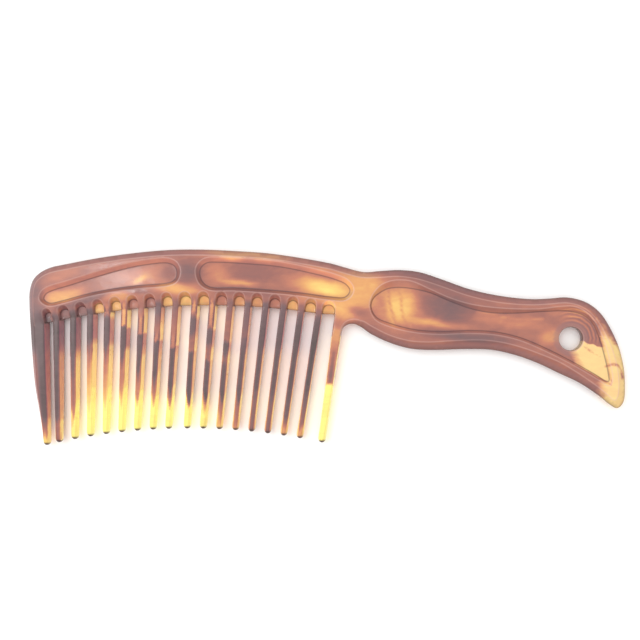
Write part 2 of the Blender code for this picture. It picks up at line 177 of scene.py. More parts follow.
def chains(kinds):
    """Edges of one kind strung together as (kind, points, closed), cut at forks and corners."""
    at_vert = {}
    for edge in kinds:
        for vert in edge.verts:
            at_vert.setdefault(vert, []).append(edge)

    def turn(edge, other, vert):
        return (vert.co - edge.other_vert(vert).co).angle(other.other_vert(vert).co - vert.co)

    def straightest(edge, vert):
        others = [e for e in at_vert[vert] if e is not edge and kinds[e] == kinds[edge]]
        best = min(others, key=lambda e: turn(edge, e, vert), default=None)
        return None if best is None or turn(edge, best, vert) > CORNER else best

    def next_edge(edge, vert):
        best = straightest(edge, vert)
        return best if best is not None and straightest(best, vert) is edge else None

    lines = []
    used = set()
    for first in sorted(kinds, key=lambda e: e.index):
        if first in used:
            continue
        used.add(first)
        halves = []
        closed = False
        for vert in first.verts:
            half = [vert]
            edge = first
            while not closed:
                following = next_edge(edge, half[-1])
                if following is None:
                    break
                if following in used:
                    closed = following is first
                    break
                used.add(following)
                half.append(following.other_vert(half[-1]))
                edge = following
            halves.append(half)
        points = [v.co.copy() for v in (*reversed(halves[0]), *halves[1])]
        if closed:
            points = points[1:]
        if len(points) > 3 or kinds[first] in ("outline", "joint"):
            lines.append((kinds[first], points, closed))
    return lines


def smoothed(points, closed):
    """The centripetal Catmull-Rom curve through the points, in steps of about LINE_STEP."""
    if closed:
        points = [points[-1], *points, points[0], points[1]]
    else:
        points = [2 * points[0] - points[1], *points, 2 * points[-1] - points[-2]]
    curve = []
    for p0, p1, p2, p3 in zip(points, points[1:], points[2:], points[3:]):
        t1 = (p1 - p0).length ** 0.5
        t2 = t1 + (p2 - p1).length ** 0.5
        t3 = t2 + (p3 - p2).length ** 0.5
        steps = max(1, round((p2 - p1).length / LINE_STEP))
        for step in range(steps):
            t = t1 + (t2 - t1) * step / steps
            a = p0.lerp(p1, t / t1)
            b = p1.lerp(p2, (t - t1) / (t2 - t1))
            c = p2.lerp(p3, (t - t2) / (t3 - t2))
            point = a.lerp(b, t / t2).lerp(b.lerp(c, (t - t1) / (t3 - t1)), (t - t1) / (t2 - t1))
            point.z = min(max(point.z, min(p1.z, p2.z)), max(p1.z, p2.z))
            curve.append(point)
    if not closed:
        curve.append(points[-2].copy())
    return curve


class Plan:
    """Points in plan, each kept once, with the edges that the triangulation has to keep."""

    def __init__(self):
        self.points = []
        self.edges = []
        self.index = {}

    def add(self, point):
        key = (round(point[0], 3), round(point[1], 3))
        if key not in self.index:
            self.index[key] = len(self.points)
            self.points.append(Vector((point[0], point[1])))
        return self.index[key]

    def add_line(self, points, closed):
        chain = [self.add(p) for p in points]
        if closed:
            chain.append(chain[0])
        self.edges.extend((a, b) for a, b in zip(chain, chain[1:]) if a != b)
        return chain

    def triangles(self, node_at):
        """Triangles with each one's node, without those outside the moulding.

        The lines divide the plan into regions, and the middle of a region's largest triangle
        says which node the region belongs to.
        """
        points, edges, faces, _, edge_origins, _ = delaunay_2d_cdt(self.points, self.edges, [], 0, 1e-6)
        fixed = {tuple(sorted(e)) for e, origin in zip(edges, edge_origins) if origin}
        sides = {}
        for i, face in enumerate(faces):
            for a, b in zip(face, (*face[1:], face[0])):
                sides.setdefault((min(a, b), max(a, b)), []).append(i)
        region = [None] * len(faces)
        kept = []
        for start in range(len(faces)):
            if region[start] is not None:
                continue
            region[start] = start
            members = [start]
            for i in members:
                face = faces[i]
                for a, b in zip(face, (*face[1:], face[0])):
                    key = (min(a, b), max(a, b))
                    if key in fixed:
                        continue
                    for j in sides[key]:
                        if region[j] is None:
                            region[j] = start
                            members.append(j)
            largest = max(members, key=lambda i: doubled_area(*(points[k] for k in faces[i])))
            middle = sum((points[k] for k in faces[largest]), Vector((0.0, 0.0))) / 3
            node = node_at(middle)
            if node is not None:
                kept.extend((tuple(faces[i]), node) for i in members)
        return points, kept


def doubled_area(a, b, c):
    return abs((b - a).cross(c - a))


def drop(tree, x, y):
    """What a plumb line at (x, y) meets first: (height, face number), or None."""
    hit, _, face, _ = tree.ray_cast(Vector((x, y, 50.0)), Vector((0, 0, -1)))
    return None if hit is None else (hit.z, face)


class Spacing:
    """Points in plan, sorted into square cells so that close ones are found quickly."""

    def __init__(self, cell):
        self.cell = cell
        self.cells = {}

    def add(self, x, y):
        self.cells.setdefault((math.floor(x / self.cell), math.floor(y / self.cell)), []).append((x, y))

    def is_clear(self, x, y, reach):
        column, row = math.floor(x / self.cell), math.floor(y / self.cell)
        for i in (column - 1, column, column + 1):
            for j in (row - 1, row, row + 1):
                for other in self.cells.get((i, j), ()):
                    if (other[0] - x) ** 2 + (other[1] - y) ** 2 < reach * reach:
                        return False
        return True


def sharp_relief(lines, coarse, node_at):
    """Smooth curves along the lines, and a search tree of the relief that they span."""
    plan = Plan()
    heights = {}
    curves = []
    for kind, points, closed in lines:
        curve = smoothed(points, closed)
        curves.append((kind, curve, closed))
        for index, point in zip(plan.add_line(curve, closed), curve):
            heights.setdefault(index, point.z)
    places, kept = plan.triangles(node_at)
    verts = []
    for i, place in enumerate(places):
        if i not in heights:
            heights[i] = coarse.find_nearest(Vector((place.x, place.y, MIDDLE_Z + 2.0)))[0].z
        verts.append((place.x, place.y, heights[i]))
    return curves, BVHTree.FromPolygons(verts, [face for face, _ in kept])


def line_normals(curve, closed):
    last = len(curve) - 1
    for i, point in enumerate(curve):
        ahead = curve[(i + 1) % len(curve)] if closed else curve[min(i + 1, last)]
        behind = curve[i - 1] if closed else curve[max(i - 1, 0)]
        along = (ahead - behind).xy.normalized()
        yield point, Vector((-along.y, along.x))


def plan_of_skin(curves, relief, node_at):
    """The lines, rows of points beside them, and a grid of points between them.

    The grid is twice as fine on the teeth, whose colours change in narrow streaks.
    """
    plan = Plan()
    for _, curve, closed in curves:
        plan.add_line(curve, closed)
    spacing = Spacing(CELL)
    lines_only = Spacing(CELL)
    for point in plan.points:
        spacing.add(point.x, point.y)
        lines_only.add(point.x, point.y)
    for kind, curve, closed in curves:
        if kind == "joint":
            continue
        rows = EDGE_ROWS if kind == "outline" else FOLD_ROWS
        for row in rows:
            for point, normal in line_normals(curve, closed):
                for side in (-1, 1):
                    x, y = point.xy + normal * side * row
                    if (lines_only.is_clear(x, y, row * 0.9) and spacing.is_clear(x, y, ROW_CLEAR)
                            and drop(relief, x, y)):
                        plan.add((x, y))
                        spacing.add(x, y)
    low, high = (Vector(corner) / MM for corner in cad_box)
    step = FILL_STEP / 2
    row_step = step * math.sqrt(0.75)
    for row in range(math.ceil((high.y - low.y) / row_step)):
        y = low.y + row * row_step
        for column in range(math.ceil((high.x - low.x) / step)):
            x = low.x + (column + row % 4 / 2) * step
            coarse = row % 2 == 0 and column % 2 == 0
            if not drop(relief, x, y):
                continue
            on_tooth = NAMES[node_at(Vector((x, y))) or 0] in TOOTH_TONES
            clear = FILL_CLEAR / 2 if on_tooth else FILL_CLEAR
            if (coarse or on_tooth) and spacing.is_clear(x, y, clear):
                plan.add((x, y))
    return plan


def rounded_height(relief, x, y, reach):
    """Mean height of the relief within reach of a point."""
    total = weight = 0.0
    for ring, count in ((0.0, 1), (0.55, 6), (1.0, 6)):
        for i in range(count):
            turn = 2 * math.pi * (i + ring / 2) / count
            hit = drop(relief, x + ring * reach * math.cos(turn), y + ring * reach * math.sin(turn))
            if hit is not None:
                share = 1.0 - 0.45 * ring
                total += hit[0] * share
                weight += share
    return total / weight if weight else None


def distance_to(points):
    """A function that gives the distance in plan to the nearest of the points."""
    tree = KDTree(len(points))
    for i, point in enumerate(points):
        tree.insert((point.x, point.y, 0.0), i)
    tree.balance()
    return lambda x, y: tree.find((x, y, 0.0))[2]


def within_box(*point):
    return tuple(min(max(v, low / MM), high / MM) for v, low, high in zip(point, *cad_box))


def height_at(relief, place):
    """Height of the relief above the middle plane, at the point nearest to a place on its edge."""
    return relief.find_nearest(Vector((place.x, place.y, MIDDLE_Z + 1)))[0].z - MIDDLE_Z


def outline_of(places, triangles):
    """The outline's edges with their nodes, and a vector at each of its points that leads out."""
    directed = {}
    for face, node in triangles:
        for a, b in zip(face, (*face[1:], face[0])):
            directed[a, b] = node
    border = {edge: node for edge, node in directed.items() if edge[::-1] not in directed}
    outward = {}
    for a, b in border:
        along = (places[b] - places[a]).normalized()
        for i in (a, b):
            outward[i] = outward.get(i, Vector((0.0, 0.0))) + Vector((along.y, -along.x))
    return border, outward


def slope_shares(places):
    """Share of the long slope at each place on the outline: it ends above the roots of the teeth."""
    xs, ys = np.array(places).T
    above_roots = ys - root_line(xs)
    past_guard, past_heel = (xs - tooth_axis(name)[0] for name in ("guard_tooth", "heel_tooth"))
    in_throat = (past_heel > 0) & (ys < THROAT_Y)
    in_back, in_handle = smoothstep(*ROOT_FADE, above_roots), smoothstep(*THROAT_FADE, past_heel)
    shares = np.where(in_throat, in_handle, in_back)
    shares[(past_guard > 0) & (past_heel < THROAT_FADE[0]) & (above_roots < STUB_RISE)] = 0.0
    return shares


def whole_skin():
    """The closed skin of the moulding: points, faces, each face's node, and marks at the points.

    The marks, from 0 to 1, say how far a point is in the painted highlight on a crest, the painted
    shade in a hollow and at the outline's rim, and the painted reflection on the long slope inside the
    outline.
    """
    mesh, node_of = joined_nodes()
    front, lines = front_lines(mesh, node_of)
    corners = [v.co.copy() for face in front for v in face.verts]
    nodes = [face[node_of] for face in front]
    coarse = BVHTree.FromPolygons(corners, [(i, i + 1, i + 2) for i in range(0, len(corners), 3)])
    mesh.free()

    def node_at(point):
        hit = drop(coarse, point.x, point.y)
        return None if hit is None else nodes[hit[1]]

    curves, relief = sharp_relief(lines, coarse, node_at)
    places, triangles = plan_of_skin(curves, relief, node_at).triangles(node_at)
    border, outward = outline_of(places, triangles)
    tree = KDTree(len(outward))
    for i in sorted(outward):
        tree.insert((*places[i], 0.0), i)
    tree.balance()
    body_edge = {i for edge, node in border.items() if NAMES[node] in BODY for i in edge}
    shares = slope_shares(places)
    sloped = {i: float(shares[i]) for i in body_edge if height_at(relief, places[i]) > BULGE_FROM}

    points = []
    columns = {}
    near_lines = {}
    for kind in ("crest", "hollow"):
        near_lines[kind] = distance_to([p for k, curve, _ in curves if k == kind for p in curve])
    marks = {"crest": [], "hollow": [], "rim": [], "slope": []}
    for i in sorted({i for face, _ in triangles for i in face}):
        x, y = places[i]
        _, nearest, distance = tree.find((x, y, 0.0))
        if i not in outward:
            height = rounded_height(relief, x, y, ROUNDING) - MIDDLE_Z
            if nearest in sloped and distance < BULGE_WIDTH:
                height += BULGE * sloped[nearest] * math.sin(math.pi * distance / BULGE_WIDTH) ** 2
            rows = [(x, y, height), (x, y, -height)]
        else:
            normal = outward[i].normalized()
            hit = None
            for inset in (WALL_ROWS[0][1], 0.02):
                hit = hit or drop(relief, *(places[i] - normal * inset))
            height = hit[0] - MIDDLE_Z if hit else height_at(relief, places[i])
            half = [(*(places[i] - normal * inset), height * share) for share, inset in WALL_ROWS]
            rows = [*half, (x, y, 0.0), *((px, py, -pz) for px, py, pz in reversed(half))]
        columns[i] = range(len(points), len(points) + len(rows))
        points.extend(within_box(px, py, pz + MIDDLE_Z) for px, py, pz in rows)

        # Where the painted highlight on crests and the painted shade in hollows fall
        here = {kind: smoothstep(*MARK_REACH, far(x, y)) for kind, far in near_lines.items()}
        # Where the painted reflection on the long slopes falls
        here["slope"] = smoothstep(*SLOPE_REACH, distance) * sloped.get(nearest, 0.0)
        # Painted shade along the outline, growing at the tips where the outline turns to face down the
        # tooth
        if nearest in body_edge:
            here["rim"] = BODY_RIM * smoothstep(*BODY_RIM_REACH, distance)
        else:
            towards_tip = smoothstep(*TIP_RIM_TURN, -outward[nearest].normalized().y)
            here["rim"] = towards_tip * smoothstep(*TIP_RIM_REACH, distance)
        for kind, mark in here.items():
            marks[kind].extend([float(mark)] * len(rows))

    faces = []
    face_nodes = []
    for face, node in triangles:
        faces.append(tuple(columns[i][0] for i in face))
        faces.append(tuple(columns[i][-1] for i in reversed(face)))
        face_nodes += [node, node]
    for (a, b), node in border.items():
        upper, lower = zip(columns[a], columns[b]), zip(columns[a][1:], columns[b][1:])
        for (upper_a, upper_b), (lower_a, lower_b) in zip(upper, lower):
            faces.append((upper_b, upper_a, lower_a, lower_b))
            face_nodes.append(node)
    return points, faces, face_nodes, marks


def closed_pieces():
    """One closed mesh for each node, with the whole skin's normals, so that no joint shows."""
    points, faces, face_nodes, marks = whole_skin()
    whole = bpy.data.meshes.new("whole")
    whole.from_pydata([Vector(p) * MM for p in points], [], faces)
    whole.shade_smooth()
    normals = [v.normal.copy() for v in whole.vertices]
    pieces = {}
    for number, name in enumerate(NAMES):
        own = [face for face, node in zip(faces, face_nodes) if node == number]
        used = sorted({i for face in own for i in face})
        place = {i: k for k, i in enumerate(used)}
        skin = bmesh.new()
        verts = [skin.verts.new(whole.vertices[i].co) for i in used]
        for face in own:
            skin.faces.new([verts[place[i]] for i in face])
        rim = [edge for edge in skin.edges if len(edge.link_faces) == 1]
        bmesh.ops.triangle_fill(skin, use_beauty=True, edges=rim)
        bmesh.ops.recalc_face_normals(skin, faces=skin.faces)
        mesh = bpy.data.meshes.new(name)
        skin.to_mesh(mesh)
        skin.free()
        mesh.shade_smooth()
        corner_normals = []
        for polygon in mesh.polygons:
            cap = polygon.index >= len(own)
            for i in polygon.vertices:
                corner_normals.append(polygon.normal if cap else normals[used[i]])
        mesh.normals_split_custom_set(corner_normals)
        for kind, values in marks.items():
            set_attribute(mesh, kind, [values[i] for i in used])
        pieces[name] = mesh
    bpy.data.meshes.remove(whole)
    return pieces


# Colour of the plastic: 0 is the smoky brown, 0.5 salmon, 0.75 amber and 1 clear yellow.
# Clouds on the back and the handle: centre x, y, half length, half width, angle in degrees, tone
CLOUDS_MM = [
    (-102.7, 10.0, 14.0, 3.2, 90, 0.22), (-92.3, 25.4, 6.0, 1.6, 17, 0.52),
    (-92.8, 18.0, 7.2, 2.3, 12, 0.71), (-85.5, 16.2, 9.0, 1.3, 12, 0.26),
    (-66.0, 20.4, 9.0, 1.2, 7, 0.30), (-63.5, 25.4, 8.0, 2.8, 8, 0.56),
    (-65.0, 24.2, 2.6, 0.8, 25, 0.76), (-55.8, 26.5, 3.0, 3.0, 0, 0.38),
    (-48.4, 26.6, 3.6, 4.2, 90, 0.26), (-52.3, 20.6, 9.0, 1.8, -3, 0.71),
    (-72.0, 17.8, 5.0, 1.8, 10, 0.62), (-28.0, 31.9, 14.0, 1.6, -5, 0.74),
    (-25.5, 26.4, 6.5, 3.6, -8, 0.36), (-38.0, 26.0, 4.0, 3.0, -8, 0.56),
    (-31.0, 22.9, 6.5, 0.9, -6, 0.68), (-27.0, 19.2, 15.0, 1.4, -6, 0.36),
    (0.0, 20.4, 9.6, 3.0, -13, 0.90), (-3.0, 16.6, 8.0, 1.6, -9, 0.60),
    (0.0, 26.8, 9.0, 1.6, -15, 0.58), (12.0, 20.5, 7.0, 6.5, 90, 0.72),
    (5.5, 13.0, 4.0, 5.0, 90, 0.72), (12.5, 12.2, 4.0, 1.6, -10, 0.42),
    (36.0, 23.6, 19.0, 2.2, -17, 0.30), (25.2, 14.4, 6.6, 6.0, 0, 0.79),
    (18.4, 14.4, 5.5, 2.0, 100, 0.55), (38.5, 8.4, 9.0, 1.4, -6, 0.70),
    (42.5, 14.0, 8.0, 4.4, -20, 0.24), (51.0, 3.2, 13.0, 1.8, -4, 0.22),
    (79.0, 3.4, 4.0, 2.6, 0, 0.62), (64.0, 9.0, 13.0, 1.6, -8, 0.54),
    (86.0, 12.6, 8.0, 2.0, -5, 0.52),
]
BODY_TONE = 0.43
# Thin swirls on the handle: points along each, half width, tone
SWIRLS_MM = [
    ([(21.2, 20.5), (21.5, 16.9), (22.6, 12.7), (24.7, 8.8), (27.5, 6.7)], 0.5, 0.54),
    ([(24.7, 20.1), (26.1, 16.9), (26.8, 13.4), (27.5, 9.9), (30.0, 7.1)], 0.4, 0.60),
    ([(52.0, 12.6), (59.0, 11.6), (68.0, 10.4), (76.0, 9.6)], 0.5, 0.60),
]
# The same in the tail's clear yellow, without a tone
TAIL_SWIRLS_MM = [
    ([(97.6, -6.8), (99.6, -5.9), (101.9, -6.2), (103.2, -8.6), (103.7, -11.0)], 0.25),
    ([(90.0, 0.5), (92.6, -1.6), (95.6, -3.2)], 0.05),
]
NOT_CLEAR = -2.0         # mm from the clear yellow that count as far outside it
RING_STEP = 1.3          # between the rings that flow round the hanging hole
HOLE_X, HOLE_Y, _ = (v / MM for v in next(
    mount["pos_m"] for mount in frame["record"]["mounts"] if mount["name"] == "hanging_hole"))


def smoothstep(low, high, value):
    share = np.clip((value - low) / (high - low), 0.0, 1.0)
    return share * share * (3 - 2 * share)


def wavy(x, y, size, seed):
    """Smooth noise from -1 to 1 at each place, with features of about the size given."""
    return np.array([noise.noise(Vector((px / size, py / size, seed))) for px, py in zip(x, y)])


def stroke_distance(x, y, line):
    """Distance in plan from each place to a line of points."""
    nearest = np.full(len(x), 1e9)
    for (ax, ay), (bx, by) in zip(line, line[1:]):
        dx, dy = bx - ax, by - ay
        share = np.clip(((x - ax) * dx + (y - ay) * dy) / (dx * dx + dy * dy), 0.0, 1.0)
        nearest = np.minimum(nearest, np.hypot(x - ax - share * dx, y - ay - share * dy))
    return nearest


def body_tones(x, y):
    """Tone of the back and the handle, at places in millimetres."""
    flow_x = x + 1.6 * wavy(x, y, 9.0, 1.5) + 0.5 * wavy(x, y, 3.0, 4.5)
    flow_y = y + 0.9 * wavy(x, y, 9.0, 7.5) + 0.3 * wavy(x, y, 3.0, 2.5)
    tone = np.full(len(x), BODY_TONE)
    for cx, cy, length, width, angle, cloud in CLOUDS_MM:
        c, s = math.cos(math.radians(angle)), math.sin(math.radians(angle))
        along = ((flow_x - cx) * c + (flow_y - cy) * s) / length
        across = ((flow_y - cy) * c - (flow_x - cx) * s) / width
        tone += (cloud - tone) * np.exp(-0.7 * (along ** 2 + across ** 2) ** 1.5)
    for line, width, swirl in SWIRLS_MM:
        tone += (swirl - tone) * 0.8 * np.exp(-(stroke_distance(flow_x, flow_y, line) / width) ** 2)
    return tone


def handle_fields(x, y):
    """How far inside the tail's clear yellow each place is, in mm, and how strong the rings are."""
    turn = np.degrees(np.arctan2(y - HOLE_Y, x - HOLE_X))
    from_hole = np.hypot(x - HOLE_X, y - HOLE_Y)
    rings = smoothstep(4.8, 6.2, from_hole) * smoothstep(12.5, 10.0, from_hole)
    rings *= smoothstep(-15, 5, turn) * smoothstep(125, 85, turn)

    # The panel below the hole, then the rim beyond it, down to the tip. A soft edge is drawn
    # by counting only a part of the distance from it.
    rim_x = np.interp(y, (-11.5, -9.4, -2.8, 2.9, 8.7), (99.4, 98.9, 97.6, 95.9, 93.4))
    panel = np.minimum.reduce([
        2.0 - 0.33 * (x - 90.0) - y + 0.25 * np.sin(1.9 * x),
        (x - 85.5 + 0.5 * y) * 0.10,
        (y + 1.1 + 0.555 * (x - 78.4)) * 0.45,
        (rim_x - x) * 0.8,
    ])
    rim = np.minimum.reduce([
        (x - rim_x) * 0.5,
        (5.6 - 1.14 * (x - 97.4) - y) * 0.11,
        (x - 95.8) * 0.12,
    ])
    below = np.minimum((x - 96.0) * 0.10, (-7.6 - 0.5 * (x - 88.0) - y) * 0.4)
    clear = np.maximum.reduce([panel, rim, below])
    for line, width in TAIL_SWIRLS_MM:
        clear = np.minimum(clear, (stroke_distance(x, y, line) - width) * 0.4)
    return np.clip(clear, NOT_CLEAR, -NOT_CLEAR), rings


# Tones down each tooth: height y in mm, tone there
TOOTH_TONES = {
    "guard_tooth": [(14, 0.16), (2, 0.08), (-24, 0.08), (-29, 0.42), (-31, 0.62), (-32.5, 0.88)],
    "tooth_02": [(10, 0.14), (6, 0.06), (-20, 0.08), (-25, 0.12), (-26.5, 0.34), (-34, 0.38)],
    "tooth_03": [(12, 0.08), (-2, 0.07), (-12, 0.28), (-22, 0.42), (-25.5, 0.55), (-27.5, 0.98)],
    "tooth_04": [(12, 0.12), (3, 0.12), (-3, 0.45), (-10, 0.66), (-18, 0.80), (-24, 0.92), (-26, 1.0)],
    "tooth_05": [(13, 0.62), (10, 0.14), (1, 0.14), (-6, 0.50), (-16, 0.66), (-22, 0.84), (-25, 1.0)],
    "tooth_06": [(8, 0.70), (7, 0.12), (-2, 0.10), (-9, 0.48), (-18, 0.60), (-21, 0.80), (-24, 1.0)],
    "tooth_07": [
        (12, 0.40), (10, 0.58), (5.2, 0.56), (4.2, 0.12), (-7, 0.10), (-13, 0.44), (-20, 0.58),
        (-23, 1.0),
    ],
    "tooth_08": [
        (12, 0.20), (7, 0.40), (4, 0.55), (2.6, 0.52), (1.6, 0.12), (-10, 0.08), (-17, 0.46),
        (-20, 0.6), (-23, 1.0),
    ],
    "tooth_09": [
        (13, 0.30), (8, 0.40), (2, 0.55), (0.2, 0.50), (-0.8, 0.10), (-16, 0.08), (-19, 0.45),
        (-21.5, 0.6), (-22.5, 1.0),
    ],
    "tooth_10": [
        (16, 0.66), (13, 0.60), (10, 0.15), (6, 0.18), (3, 0.40), (-1, 0.40), (-2, 0.10),
        (-19, 0.06), (-20.5, 0.4), (-22, 1.0),
    ],
    "tooth_11": [
        (16, 0.64), (8, 0.58), (6, 0.16), (2, 0.15), (0, 0.34), (-4, 0.36), (-5, 0.10), (-19, 0.06),
        (-21, 0.55), (-24, 0.96),
    ],
    "tooth_12": [
        (14, 0.28), (8, 0.40), (3, 0.38), (1, 0.10), (-1, 0.12), (-4, 0.30), (-8, 0.10),
        (-19, 0.08), (-21, 0.38), (-25, 0.48), (-28, 0.76),
    ],
    "tooth_13": [
        (14, 0.22), (4, 0.28), (0, 0.12), (-8, 0.10), (-19, 0.10), (-21, 0.36), (-26, 0.42),
        (-28.5, 0.62),
    ],
    "tooth_14": [(14, 0.20), (6, 0.10), (-12, 0.08), (-19, 0.26), (-29, 0.26)],
    "tooth_15": [(14, 0.22), (6, 0.10), (-14, 0.08), (-20, 0.24), (-29, 0.26)],
    "tooth_16": [(14, 0.34), (8, 0.10), (-10, 0.04), (-24, 0.14), (-26, 0.30), (-28.5, 0.62)],
    "tooth_17": [(14, 0.42), (9, 0.12), (0, 0.02), (-14, 0.04), (-20, 0.20), (-27, 0.34), (-29, 0.64)],
    "heel_tooth": [
        (6, 0.66), (0, 0.56), (-2, 0.40), (-10, 0.26), (-12.2, 0.34), (-13.2, 0.98), (-33, 1.0),
    ],
}
# By how many mm sooner the right part of a tooth's front turns clear
EARLY_CLEAR = {
    "tooth_03": 5, "tooth_04": 9, "tooth_05": 9, "tooth_06": 8, "tooth_07": 6, "tooth_08": 3,
    "tooth_09": 2,
}
# Share of the painted light at its flanks that a smoky tooth gets
SMOKY = {"guard_tooth": 0.88, "tooth_02": 0.8, "tooth_03": 0.82}
# Teeth whose dark core narrows to a streak above the clear tip, and by how many mm for each half
# width across them their sides turn clear sooner
STREAKED = [f"tooth_{number:02d}" for number in range(3, 14)]
STREAK_NARROWS = 5.0
# Half widths for the colours across a tooth: at any tip, at a root and at the guard tooth's root
TIP_HALF = 1.15
ROOT_HALF = 1.25
GUARD_HALF = 3.4
# Tones of the 17 webs between the tooth roots, from the guard tooth on
WEB_TONES = (
    0.36, 0.32, 0.32, 0.74, 0.75, 0.46, 0.44, 0.74, 0.77, 0.72, 0.52, 0.62, 0.64, 0.50, 0.72, 0.74,
    0.73,
)


def tooth_axis(name):
    """Ends of a tooth's axis in plan: x and y at its root, x and y at its tip."""
    places = np.array([v.co for v in frame["nodes"][name].data.vertices]) / MM
    x, y = places[:, 0], places[:, 1]
    top, tip = y.max(), y.min()
    return x[y > top - 1.2].mean(), top, x[y < tip + 1.2].mean(), tip


def root_line(x):
    """Height in plan of the line where the teeth leave the back."""
    roots = sorted(tooth_axis(name)[:2] for name in TOOTH_TONES)
    return np.interp(x, *zip(*roots))


def tooth_place(name, x, y):
    """How far each place is across the tooth, from -1 at its left flank to 1 at its right."""
    root_x, top, tip_x, tip = tooth_axis(name)
    axis = tip_x + (root_x - tip_x) * (y - tip) / (top - tip)
    half = np.interp(y, (tip, top), (TIP_HALF, GUARD_HALF if name == "guard_tooth" else ROOT_HALF))
    return (x - axis) / half


def tooth_tones(name, x, y):
    """Tone of a tooth, which changes down it in streaks, with clearer edges where it is dark."""
    across = np.clip(tooth_place(name, x, y), -1, 1)
    seed = NAMES.index(name) * 3.7
    streak = wavy(x * 14, y, 9.0, seed) + 0.5 * wavy(x * 30, y * 1.5, 9.0, seed + 50)
    early = EARLY_CLEAR.get(name, 0) * smoothstep(-0.2, 0.9, across) * smoothstep(6, -6, y)
    streaked = name in STREAKED
    narrowing = STREAK_NARROWS * np.abs(across - 0.25) * streaked
    narrowing *= smoothstep(-8, -18, y) * smoothstep(-28, -23, y)
    height = y - early - narrowing + streak * (0.5 if name == "heel_tooth" else 1.1)
    heights, tones = zip(*reversed(TOOTH_TONES[name]))
    tone = np.interp(height, heights, tones)
    edge = smoothstep(0.25, 0.85, np.abs(across))
    dark_edge = smoothstep(0.35, 0.7, np.abs(across)) * smoothstep(1.0, 0.86, np.abs(across))
    tone -= 0.4 * dark_edge * smoothstep(0.4, 0.6, tone) * smoothstep(-6, 0, y) * streaked
    return tone + 0.24 * edge * (1 - smoothstep(0.3, 0.6, tone)) * smoothstep(2, -4, y)


def back_tones(x, y, z):
    """Tone of the back: each tooth's tones run up its root, and each web has a tone of its own."""
    tone = body_tones(x, y)
    teeth = sorted(TOOTH_TONES, key=lambda name: tooth_axis(name)[0])
    for name in teeth:
        _, top, _, _ = tooth_axis(name)
        rise = 1.5 if name in ("guard_tooth", "heel_tooth") else 0.0
        root = smoothstep(1.35, 1.0, np.abs(tooth_place(name, x, y)))
        root *= smoothstep(top + 3.4 + rise, top + 0.8, y + 0.6 * wavy(x, y, 1.5, 5.5))
        tone += root * (tooth_tones(name, x, y) - tone)
    thin = smoothstep(1.05, 0.65, np.abs(z - MIDDLE_Z))
    for left, right, web in zip(teeth, teeth[1:], WEB_TONES):
        between = (tooth_place(left, x, y) > 0.8) & (tooth_place(right, x, y) < -0.8)
        near = between & (y < max(tooth_axis(left)[1], tooth_axis(right)[1]) + 6)
        tone += thin * near * (web + 0.05 * wavy(x, y, 1.2, 9.5) - tone)
    return tone


BRIGHTNESS = 1.40        # what the studio's light multiplies a colour by
SHEEN = 0.04             # what the reflection of the bright room adds to it
TONES = [
    (0.00, (104, 92, 90)), (0.20, (134, 108, 110)), (0.38, (172, 118, 110)),
    (0.54, (212, 140, 116)), (0.70, (246, 180, 120)), (0.84, (262, 216, 132)),
    (0.93, (270, 238, 142)), (1.00, (280, 262, 150)),
]
CLEAR_TONE = 0.88
MILK = (262, 226, 190)           # paleness in the tail's clear yellow
SLOPE_REFLECTION_GREY = (158, 126, 128)     # painted reflection of grey surroundings on the long slopes inside the outline
# Painted shade in the relief's hollows
HOLLOW_SHADE = (98, 78, 82)
# Painted shade along the outline
RIM_SHADE = (108, 88, 84)
# Painted highlight along the crests
CREST_HIGHLIGHT = (252, 208, 196)
FLANK_LIFT = 0.43        # how much clearer a tooth's flanks are painted, standing in for light that comes through
FLANK_TONE = 0.88        # but not clearer than this
GLOW_GAIN = (1.35, 1.5, 2.1)     # how much brighter the painted glow makes the flanks than the tone's colour
GLOW_ADD = (0.02, 0.04, 0.06)
BACK_SEE_THROUGH = 0.35  # painted light on the arches round the webs, as a share of the flanks'
PANEL_FADE = (5.0, 5.8)  # the painted light and shade on the panels' walls begins at these heights above the roots
PANEL_DARKEST = 0.75     # least brightness of that painted shade, as a share of the colour
SHADOW_TINT = (1.0, 0.78, 0.66, 1.0)
SHADOW_GAIN = 1.15


def plastic(r, g, b):
    """The plastic's colour that this light shows as the display values r, g, b of 0 to 255."""
    linear = [((c / 255 + 0.055) / 1.055) ** 2.4 for c in (r, g, b)]
    return (*(max(0.004, (c - SHEEN) / BRIGHTNESS) for c in linear), 1.0)


